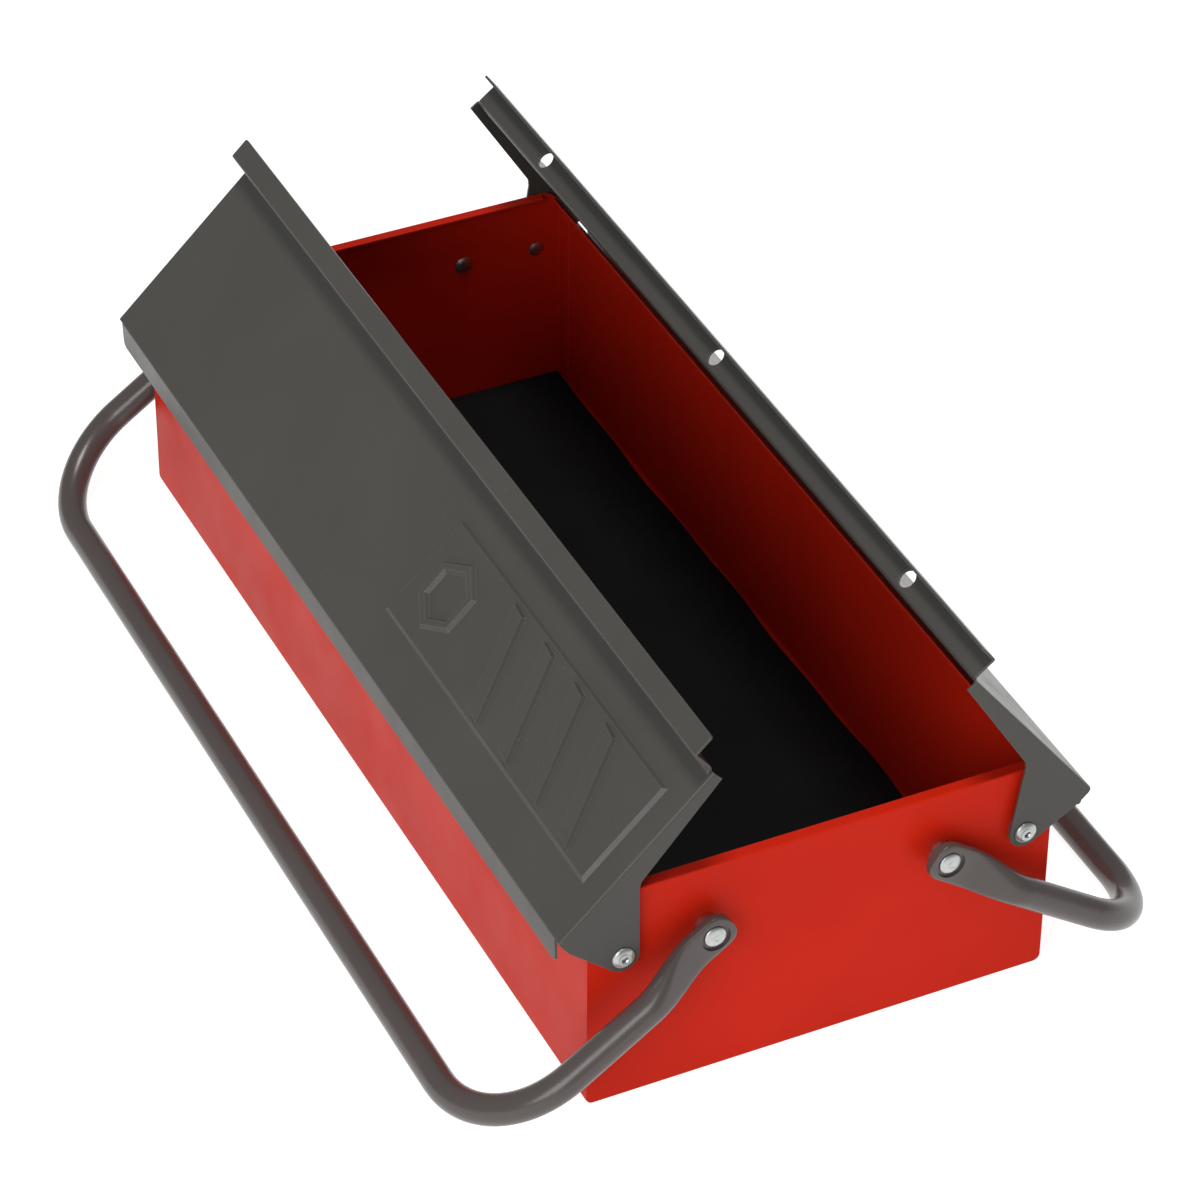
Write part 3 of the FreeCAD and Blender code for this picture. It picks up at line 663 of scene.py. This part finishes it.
def add_strip(bm, shared, line, half, place):
    """Carry a folded strip from a shared edge along the (u, w) points of a line."""
    first, second = shared
    for u, w in line:
        ahead = [bm.verts.new(place(x, u, w)) for x in (half, -half)]
        bm.faces.new([second, first, *ahead])
        first, second = ahead
    return first, second


def cut_field(bm, faces, spot, direction):
    """Cut some flat faces by a plane, and return the faces that result."""
    geometry = list(dict.fromkeys(
        item for face in faces for item in (face, *face.edges, *face.verts)))
    result = bmesh.ops.bisect_plane(
        bm, geom=geometry, dist=1e-6, plane_co=spot, plane_no=direction)["geom"]
    return [item for item in result if isinstance(item, bmesh.types.BMFace)]


def raise_field(bm, face, slope, height, up):
    """Press a flat face up inside a sloping border."""
    bmesh.ops.inset_individual(bm, faces=[face], thickness=slope, depth=0)
    bmesh.ops.translate(bm, verts=face.verts, vec=up * height)


class OBJECT_OT_tote_lids(bpy.types.Operator):
    """Press the two lids, with their lips, ears, middle edges and the embossed frame"""
    bl_idname = "object.tote_lids"
    bl_label = "Lids"

    def execute(self, context):
        for side, sign in SIDES.items():
            self.press(context, side, sign)
        return {"FINISHED"}

    def press(self, context, side, sign):
        scene = context.scene
        sheet = scene.tote_sheet
        lid = scene.tote_lid
        node = "lid_" + side
        hinge = Vector(JOINTS[node + "_hinge"]["pos_m"])
        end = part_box(node)[1].x
        panel = lid.left_panel if sign < 0 else lid.right_panel
        place = shut_lid_place(sign, hinge, lid)
        bm = bmesh.new()
        lip_end = end - lid.lip_setback
        step_end = end - lid.step_setback
        lean, rise, cap, valley = [
            getattr(lid, side + part) for part in ("_lean", "_rise", "_cap", "_valley")]
        middle = rounded_line(
            [(0, 0), (panel, 0), (panel + lean, rise), (panel + lean + cap, rise)],
            (valley, lid.cap_fold))[1:]
        lip = rounded_line(
            [(panel, 0), (0, 0), (-lid.lip_out, -lid.lip_down)], (sheet.fold,))[1:]
        foot, nose = middle[0].x, lip[0].x
        near_half = [
            (lip_end, nose), (lip_end + lid.slit, nose), (lip_end + lid.slit, 0), (end, 0),
            (end, panel), (step_end + lid.slit, panel), (step_end + lid.slit, foot),
            (step_end, foot)]
        outline = near_half + [(-x, u) for x, u in reversed(near_half)]
        corners = [bm.verts.new(place(x, u, 0)) for x, u in outline]
        field = bm.faces.new(corners)
        # the same corners at the near and the far end, counted from the lip
        pairs = list(zip(corners, reversed(corners)))
        lip_root, ear_outer, ear_inner, step_root = pairs[0], pairs[3], pairs[4], pairs[7]
        lip_tips = add_strip(bm, lip_root, lip[1:], lip_end, place)
        cap_tips = add_strip(bm, step_root, middle[1:], step_end, place)
        drop = ear_outline(lid, panel)
        for way, outer_top, inner_top in zip((1, -1), ear_outer, ear_inner):
            ear = [bm.verts.new(place(way * end, u, w)) for u, w in drop]
            bm.faces.new([outer_top, inner_top] + ear)
        round_corners(bm, list(cap_tips), lid.cap_fold)
        round_corners(bm, list(lip_tips), lid.lip_corner)
        bmesh.ops.recalc_face_normals(bm, faces=bm.faces)
        if sign < 0:
            self.emboss(scene.tote_emboss, bm, field, place)
        fold_over(bm, edges_where(bm, lambda edge: self.is_ear_fold(edge, end)), sheet.fold)
        face_outward(bm, place(0, panel / 8, 0), (0, 0, 1))
        made = to_object("pressed_" + node, bm)
        thicken(made, sheet.lid_plate)
        rivet = scene.tote_rivet
        holes = [((0, hinge.y, hinge.z), (1, 0, 0), rivet.lid_shank + rivet.play, 4 * end)]
        through_step = 12 * MM
        for number in (-1, 0, 1):
            spot = place(number * lid.hole_pitch, panel + lean, lid.hole_rise)
            holes.append((spot, (0, 1, 0), lid.hole, through_step))
        drill(made, holes)
        joint = JOINTS[node + "_hinge"]
        swing = Matrix.Rotation(radians(-joint["range_deg"][0]), 4, Vector(joint["axis"]))
        made.data.transform(Matrix.Translation(hinge) @ swing @ Matrix.Translation(-hinge))
        complete(made, node, "grey_enamel", node, sheet.burr, 22)

    def is_ear_fold(self, edge, end):
        """True for an edge between the panel and an ear."""
        return is_fold(edge) and all(
            abs(abs(vert.co.x) - end) < MM / 10 for vert in edge.verts)

    def emboss(self, sizes, bm, field, place):
        """A raised field with a nut outline and plain bars pressed into it."""
        along = Vector((1, 0, 0))
        across = (place(0, 1, 0) - place(0, 0, 0)).normalized()
        up = Vector((0, 0, 1))
        faces = [field]
        for x in (sizes.start, sizes.finish):
            faces = cut_field(bm, faces, place(x, 0, 0), along)
        for u in (sizes.low, sizes.high):
            faces = cut_field(bm, faces, place(0, u, 0), across)
        middle = place((sizes.start + sizes.finish) / 2, (sizes.low + sizes.high) / 2, 0)
        raised = min(faces, key=lambda face: (face.calc_center_median() - middle).length)
        raise_field(bm, raised, sizes.slope, sizes.height, up)
        self.motif(sizes, bm, raised, place, along, across, up)

    def motif(self, sizes, bm, raised, place, along, across, up):
        """A plain hexagon at the field's far end and slanted bars along the rest of it."""
        centre_u = (sizes.low + sizes.high) / 2
        cell_end = sizes.start + (sizes.high - sizes.low)
        faces = cut_field(bm, [raised], place(cell_end, 0, 0), along)
        cell = min(faces, key=lambda face: face.calc_center_median().x)
        rest = max(faces, key=lambda face: face.calc_center_median().x)
        hub = place((sizes.start + cell_end) / 2, centre_u, sizes.height)
        parts = [cell]
        for step in range(6):
            angle = pi / 3 * step
            direction = along * cos(angle) + across * sin(angle)
            parts = cut_field(bm, parts, hub + direction * sizes.nut, direction)
        nut = min(parts, key=lambda face: (face.calc_center_median() - hub).length)
        raise_field(bm, nut, sizes.motif_slope, sizes.motif_height, up)
        bmesh.ops.inset_individual(bm, faces=[nut], thickness=sizes.nut_band, depth=0)
        raise_field(bm, nut, sizes.motif_slope, -sizes.motif_height, up)
        lean = radians(25)
        slant = along * cos(lean) + across * sin(lean)
        bars = 5
        pitch = (sizes.finish - cell_end) / bars
        strips = [rest]
        for step in range(2 * bars - 1):
            spot = place(cell_end + pitch * (0.5 * step + 0.6), centre_u, sizes.height)
            strips = cut_field(bm, strips, spot, slant)
        ordered = sorted(strips, key=lambda face: face.calc_center_median().x)
        for face in ordered[1:-1:2]:
            bmesh.ops.inset_individual(bm, faces=[face], thickness=sizes.bar_gap, depth=0)
            raise_field(bm, face, sizes.motif_slope, sizes.motif_height, up)


# ---------------------------------------------------------------- the handles


class OBJECT_OT_tote_handles(bpy.types.Operator):
    """Bend the two handles from tube, their ends flattened to eyes"""
    bl_idname = "object.tote_handles"
    bl_label = "Handles"

    def execute(self, context):
        for side, sign in SIDES.items():
            self.bend(context, side, sign)
        return {"FINISHED"}

    def bend(self, context, side, sign):
        """Half a handle is drawn flat from its eye to the grip's middle, then mirrored and turned."""
        sizes = context.scene.tote_handle
        node = "handle_" + side
        hinge = Vector(JOINTS[node + "_hinge"]["pos_m"])
        low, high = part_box(node)
        leg = high.x - sizes.tube
        grip_y = (low.y if sign < 0 else high.y) - sign * sizes.tube
        grip = Vector((grip_y - hinge.y, low.z + sizes.tube - hinge.z))
        reach = grip.length
        bm = bmesh.new()
        ring = bmesh.ops.create_circle(bm, cap_ends=False, segments=32, radius=1)["verts"]
        phases = [atan2(vert.co.y, vert.co.x) for vert in ring]
        stations = [-1.0, -0.998, -0.985, -0.95, -0.88, -0.76, -0.6, -0.4, -0.2, 0.0]
        distances = [station * sizes.eye for station in stations]
        necks = 16
        distances += [sizes.flat_end * 0.5, sizes.flat_end]
        distances += [sizes.flat_end + (sizes.round_start - sizes.flat_end) * (k + 1) / necks
                      for k in range(necks)]
        self.shape_ring(ring, phases, sizes, leg, distances[0])
        bmesh.ops.contextual_create(bm, geom=ring)
        for distance in distances[1:]:
            ring = self.grow(bm, ring)
            self.shape_ring(ring, phases, sizes, leg, distance)
        corner = reach - sizes.bend
        ring = self.grow(bm, ring)
        bmesh.ops.translate(bm, verts=ring, vec=(0, corner - sizes.round_start, 0))
        spun = bmesh.ops.spin(
            bm, geom=ring + self.ring_edges(ring), cent=(leg - sizes.bend, corner, 0), axis=(0, 0, 1),
            angle=pi / 2, steps=22, use_merge=False)["geom_last"]
        ring = self.grow(bm, verts_in(spun))
        for vert in ring:
            vert.co.x = 0
        whole = bm.verts[:] + bm.edges[:] + bm.faces[:]
        bmesh.ops.mirror(bm, geom=whole, axis="X", merge_dist=1e-6)
        bmesh.ops.remove_doubles(bm, verts=bm.verts, dist=1e-6)
        bmesh.ops.recalc_face_normals(bm, faces=bm.faces)
        made = to_object("tube_" + node, bm)
        rivet = context.scene.tote_rivet
        floor = sizes.eye_inner + sizes.eye_thickness - sizes.dish_depth
        hollows = [((0, 0, 0), (1, 0, 0), rivet.handle_shank + rivet.play, 4 * leg)]
        hollows += [((way * (floor + sizes.tube), 0, 0), (1, 0, 0), sizes.dish, 2 * sizes.tube)
                    for way in ENDS.values()]
        for hollow in hollows:
            drill(made, [hollow])
        turn = Matrix.Rotation(atan2(grip.y, grip.x), 4, "X")
        made.data.transform(Matrix.Translation(hinge) @ turn)
        complete(made, node, "grey_tube", node, 0.3 * MM, 50)

    def ring_edges(self, ring):
        """The edges between the vertices of a ring."""
        inside = set(ring)
        return list(dict.fromkeys(
            edge for vert in ring for edge in vert.link_edges if inside.issuperset(edge.verts)))

    def grow(self, bm, ring):
        """Extrude a ring of vertices and return the new ring in the same order."""
        grown = bmesh.ops.extrude_edge_only(bm, edges=self.ring_edges(ring))["geom"]
        fresh = set(verts_in(grown))
        return [
            next(edge.other_vert(vert) for edge in vert.link_edges if edge.other_vert(vert) in fresh)
            for vert in ring]

    def shape_ring(self, ring, phases, sizes, leg, distance):
        """Lay a ring across the tube at a distance from the pivot, flat near the eye, round beyond."""
        share = (distance - sizes.flat_end) / (sizes.round_start - sizes.flat_end)
        share = min(max(share, 0.0), 1.0)
        opened = share * share * (3 - 2 * share)
        half_flat = sizes.eye_thickness / 2
        limit = half_flat + (sizes.tube - half_flat) * opened
        wide = sizes.eye + (sizes.tube - sizes.eye) * opened
        if distance < 0:
            # the eye's outline is a little squarer than a half circle
            fullness, tip = 2.7, 0.5 * MM
            wide = sizes.eye * max(1 - (-distance / sizes.eye) ** fullness, 0.0) ** (1 / fullness)
            wide = max(wide, tip)
        centre = sizes.eye_inner + half_flat
        centre += (leg - centre) * opened
        # a full oval with flat faces at the eye, a circle where the tube is round
        full, circle = 5, 2
        power = 2 / (full + (circle - full) * opened)
        for vert, phase in zip(ring, phases):
            across = limit * abs(cos(phase)) ** power * (1 if cos(phase) > 0 else -1)
            rise = wide * abs(sin(phase)) ** power * (1 if sin(phase) > 0 else -1)
            vert.co = Vector((centre + across, distance, rise))


# ---------------------------------------------------------------- rivets and rings


def turned_piece(name, half_section, way, spot, slot_name, node, edge):
    """Spin a half section of (distance out, radius) about a line along X through spot."""
    bm = bmesh.new()
    line = [bm.verts.new((along, 0, radius)) for along, radius in half_section]
    edges = [bm.edges.new(pair) for pair in zip(line, line[1:])]
    if half_section[0][1] > 0:
        # a ring's section doesn't reach the axis, so it is closed by its bore
        edges.append(bm.edges.new((line[-1], line[0])))
    bmesh.ops.spin(
        bm, geom=line + edges, cent=(0, 0, 0), axis=(1, 0, 0), angle=2 * pi, steps=40,
        use_merge=True)
    bmesh.ops.remove_doubles(bm, verts=bm.verts, dist=1e-6)
    bmesh.ops.recalc_face_normals(bm, faces=bm.faces)
    bmesh.ops.transform(
        bm, matrix=Matrix.Rotation(0 if way > 0 else pi, 4, "Z"), verts=bm.verts)
    bmesh.ops.translate(bm, verts=bm.verts, vec=(0, spot.y, spot.z))
    complete(to_object(name, bm), "tub", slot_name, node, edge, 50)


class OBJECT_OT_tote_rivets(bpy.types.Operator):
    """Set the eight zinc-plated rivets and the rings under them"""
    bl_idname = "object.tote_rivets"
    bl_label = "Rivets and rings"

    def execute(self, context):
        for side in SIDES:
            for end, way in ENDS.items():
                for kind in ("lid", "handle"):
                    self.set_rivet(kind, side, end, way)
        return {"FINISHED"}

    def set_rivet(self, kind, side, end, way):
        tag = "%s_%s" % (side, end)
        spot = Vector(JOINTS["%s_%s_hinge" % (kind, side)]["pos_m"])
        node = "%s_rivet_%s" % (kind, tag)
        low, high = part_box(node)
        inner, outer = (low.x, high.x) if way > 0 else (-high.x, -low.x)
        head = (high.y - low.y) / 2
        sizes = bpy.context.scene.tote_rivet
        shank, tail, tall, dimple, depth = [
            getattr(sizes, kind + part) for part in ("_shank", "_tail", "_head", "_dimple", "_depth")]
        under = outer - tall
        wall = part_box("tub_shell")[1].x
        round_off, rim = 0.3 * MM, 0.5 * MM
        section = [
            (inner, 0), (inner, 0.5 * tail), (inner + round_off, 0.8 * tail), (wall - rim, tail),
            (wall, tail), (wall, shank), (under, shank), (under, head)]
        steps, first, last = 5, radians(12), radians(72)
        for step in range(steps + 1):
            angle = first + (last - first) * step / steps
            section.append((under + tall * sin(angle) / sin(last), head * cos(angle) / cos(first)))
        section += [(outer, dimple + rim), (outer - 0.2 * depth, dimple)]
        section += [(outer - depth, 0.7 * dimple), (outer - depth, 0)]
        turned_piece("zinc_" + node, section, way, spot, "zinc", node, None)
        ring = "lid_washer_" + tag if kind == "lid" else "handle_spacer_" + tag
        low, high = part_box(ring)
        near, far = (low.x, high.x) if way > 0 else (-high.x, -low.x)
        radius = (high.y - low.y) / 2
        bore = shank + sizes.play
        flat = [(near, bore), (far, bore), (far, radius), (near, radius)]
        turned_piece("zinc_" + ring, flat, way, spot, "zinc", ring, 0.25 * MM)


# ---------------------------------------------------------------- the studio


def soft_box(name, spot, aim, size, watts):
    """A square white area light at a spot, turned towards aim."""
    lamp = bpy.data.lights.new(name, "AREA")
    lamp.shape = "SQUARE"
    lamp.size = size
    lamp.energy = watts
    made = bpy.data.objects.new(name, lamp)
    made.location = spot
    made.rotation_euler = (Vector(aim) - Vector(spot)).to_track_quat("-Z", "Y").to_euler()
    bpy.context.scene.collection.objects.link(made)


class OBJECT_OT_tote_stage(bpy.types.Operator):
    """Lay the pale floor, set the soft lights and place the camera"""
    bl_idname = "object.tote_stage"
    bl_label = "Stage"

    def execute(self, context):
        bm = bmesh.new()
        bmesh.ops.create_grid(bm, x_segments=1, y_segments=1, size=30)
        floor = to_object("paper_floor", bm)
        floor.data.materials.append(finish("paper"))
        floor.location.z = -0.2 * MM
        world = bpy.data.worlds.new("studio")
        world.use_nodes = True
        world.node_tree.nodes["Background"].inputs["Color"].default_value = (1, 1, 1, 1)
        world.node_tree.nodes["Background"].inputs["Strength"].default_value = 0.3
        context.scene.world = world
        context.scene.view_settings.view_transform = "Standard"
        heart = (0, 0, 0.06)
        soft_box("key", (1.5, -1.7, 1.2), heart, size=1.2, watts=27)
        soft_box("overhead", (0.0, -0.3, 3.0), heart, size=0.7, watts=43)
        self.place_camera(context.scene)
        return {"FINISHED"}

    def place_camera(self, scene):
        """A long lens looking down on the near left corner, turned slightly off level."""
        azimuth, elevation, roll = radians(64.33), radians(37.44), radians(0.47)
        target, distance = Vector((8.3, 8.8, 60.0)) * MM, 2078.7 * MM
        back = Vector((sin(azimuth) * cos(elevation), -cos(azimuth) * cos(elevation), sin(elevation)))
        camera = bpy.data.cameras.new("camera")
        camera.lens = 146.5
        camera.sensor_width = 36
        camera.clip_end = 100
        made = bpy.data.objects.new("camera", camera)
        level = back.to_track_quat("Z", "Y").to_matrix().to_4x4()
        made.matrix_world = (Matrix.Translation(target + back * distance) @ level
                             @ Matrix.Rotation(roll, 4, "Z"))
        scene.collection.objects.link(made)
        scene.camera = made


class VIEW3D_PT_tote_box(bpy.types.Panel):
    """Sizes, colours and building steps of the tote box"""
    bl_idname = "VIEW3D_PT_tote_box"
    bl_label = "Tote box"
    bl_space_type = "VIEW_3D"
    bl_region_type = "UI"
    bl_category = "Tote Box"

    def draw(self, context):
        column = self.layout.column()
        for step in STEPS:
            column.operator(step.bl_idname)
        for name, group in GROUPS.items():
            column.separator()
            for key in group.__annotations__:
                column.prop(getattr(context.scene, name), key)


STEPS = (
    OBJECT_OT_tote_trough,
    OBJECT_OT_tote_end_panels,
    OBJECT_OT_tote_mat,
    OBJECT_OT_tote_lids,
    OBJECT_OT_tote_handles,
    OBJECT_OT_tote_rivets,
    OBJECT_OT_tote_stage,
)
CLASSES = (*GROUPS.values(), *STEPS, VIEW3D_PT_tote_box)


def register():
    for kind in CLASSES:
        bpy.utils.register_class(kind)
    for name, group in GROUPS.items():
        setattr(bpy.types.Scene, name, bpy.props.PointerProperty(type=group))


def unregister():
    for name in GROUPS:
        delattr(bpy.types.Scene, name)
    for kind in reversed(CLASSES):
        bpy.utils.unregister_class(kind)


def main():
    register()
    bpy.ops.object.tote_trough()
    bpy.ops.object.tote_end_panels()
    bpy.ops.object.tote_mat()
    bpy.ops.object.tote_lids()
    bpy.ops.object.tote_handles()
    bpy.ops.object.tote_rivets()
    bpy.ops.object.tote_stage()


if __name__ == "__main__":
    main()
